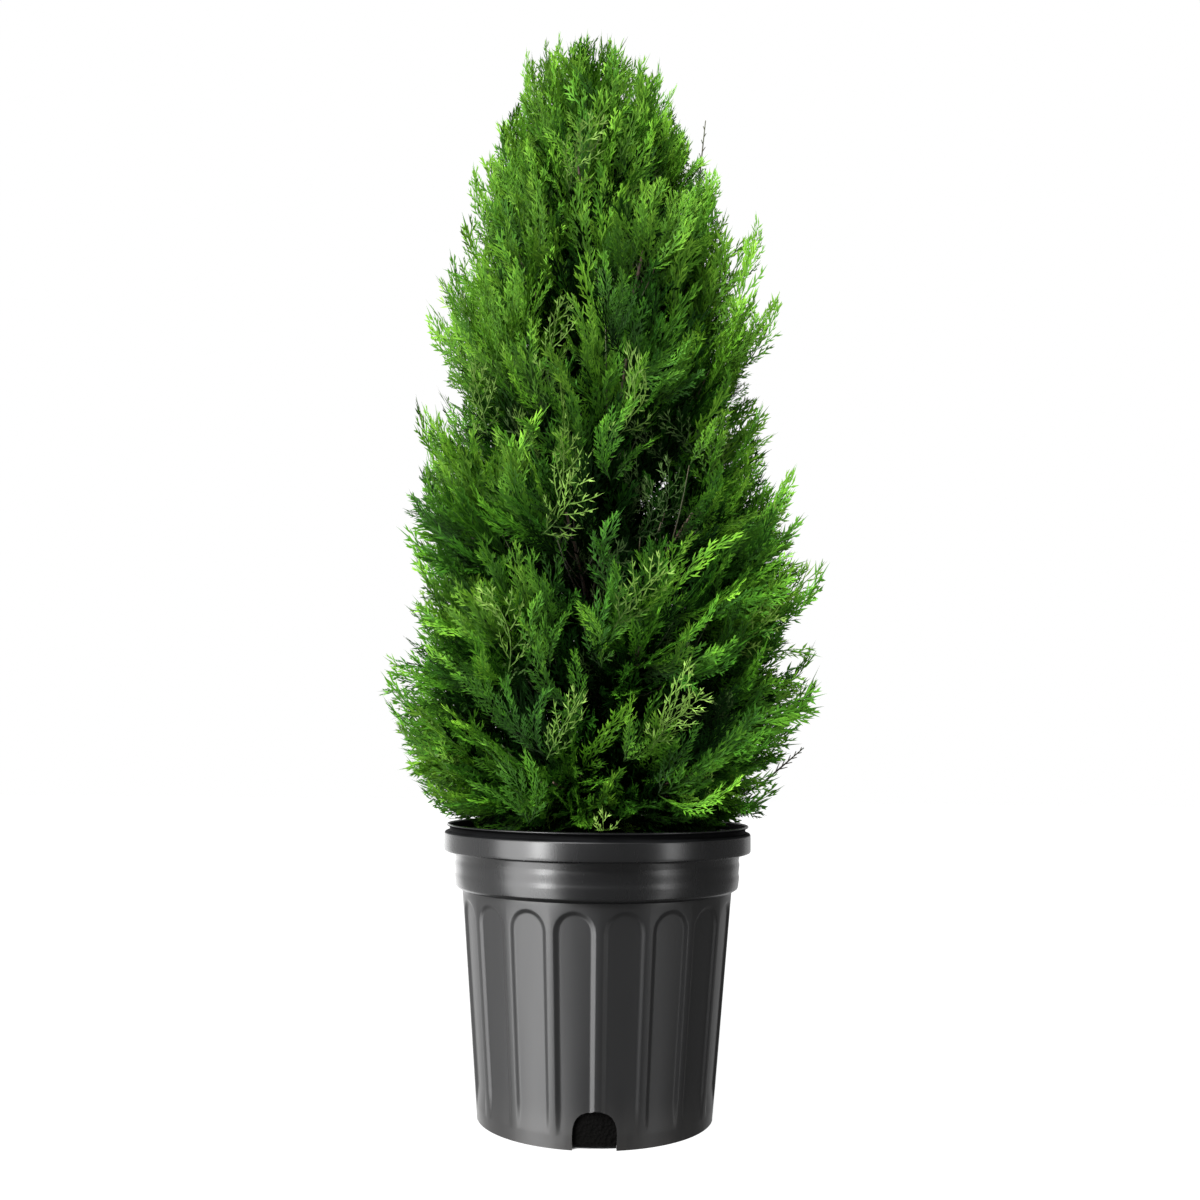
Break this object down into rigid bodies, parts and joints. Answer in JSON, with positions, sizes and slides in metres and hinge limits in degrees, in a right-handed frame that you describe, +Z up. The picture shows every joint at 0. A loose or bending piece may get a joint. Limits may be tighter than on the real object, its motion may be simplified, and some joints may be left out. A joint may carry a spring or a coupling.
{
  "type": "potted thuja",
  "caption": "Young conical thuja with feathery upright sprays on a single trunk, growing in a black fluted plastic nursery pot with drain notches.",
  "frame": {"origin": "middle of the pot's flat underside, on the pot's axis", "axes": "+Z up along the pot's axis and the trunk, +X to the right of the plant as pictured, so that its front faces -Y"},
  "size_m": [0.4615, 0.4541, 1.1267],
  "materials": {
    "pot_plastic": "semi-matte moulded plastic",
    "potting_mix": "damp bark chips and peat",
    "bark": "fibrous bark",
    "foliage": "scale leaves"
  },
  "bodies": {
    "root": {"bough_low_1": "bark", "bough_low_2": "bark", "bough_low_3": "bark", "bough_low_4": "bark", "bough_low_5": "bark", "bough_low_6": "bark", "bough_lower_1": "bark", "bough_lower_2": "bark", "bough_lower_3": "bark", "bough_lower_4": "bark", "bough_lower_5": "bark", "bough_lower_6": "bark", "bough_middle_1": "bark", "bough_middle_2": "bark", "bough_middle_3": "bark", "bough_middle_4": "bark", "bough_middle_5": "bark", "bough_upper_1": "bark", "bough_upper_2": "bark", "bough_upper_3": "bark", "bough_upper_4": "bark", "foliage_low_1": "foliage", "foliage_low_2": "foliage", "foliage_low_3": "foliage", "foliage_low_4": "foliage", "foliage_low_5": "foliage", "foliage_low_6": "foliage", "foliage_lower_1": "foliage", "foliage_lower_2": "foliage", "foliage_lower_3": "foliage", "foliage_lower_4": "foliage", "foliage_lower_5": "foliage", "foliage_lower_6": "foliage", "foliage_middle_1": "foliage", "foliage_middle_2": "foliage", "foliage_middle_3": "foliage", "foliage_middle_4": "foliage", "foliage_middle_5": "foliage", "foliage_shoulder_1": "foliage", "foliage_shoulder_2": "foliage", "foliage_shoulder_3": "foliage", "foliage_skirt_1": "foliage", "foliage_skirt_2": "foliage", "foliage_skirt_3": "foliage", "foliage_skirt_4": "foliage", "foliage_skirt_5": "foliage", "foliage_skirt_6": "foliage", "foliage_top": "foliage", "foliage_upper_1": "foliage", "foliage_upper_2": "foliage", "foliage_upper_3": "foliage", "foliage_upper_4": "foliage", "pot": "pot_plastic", "potting_mix": "potting_mix", "trunk": "bark"}
  },
  "joints": []
}
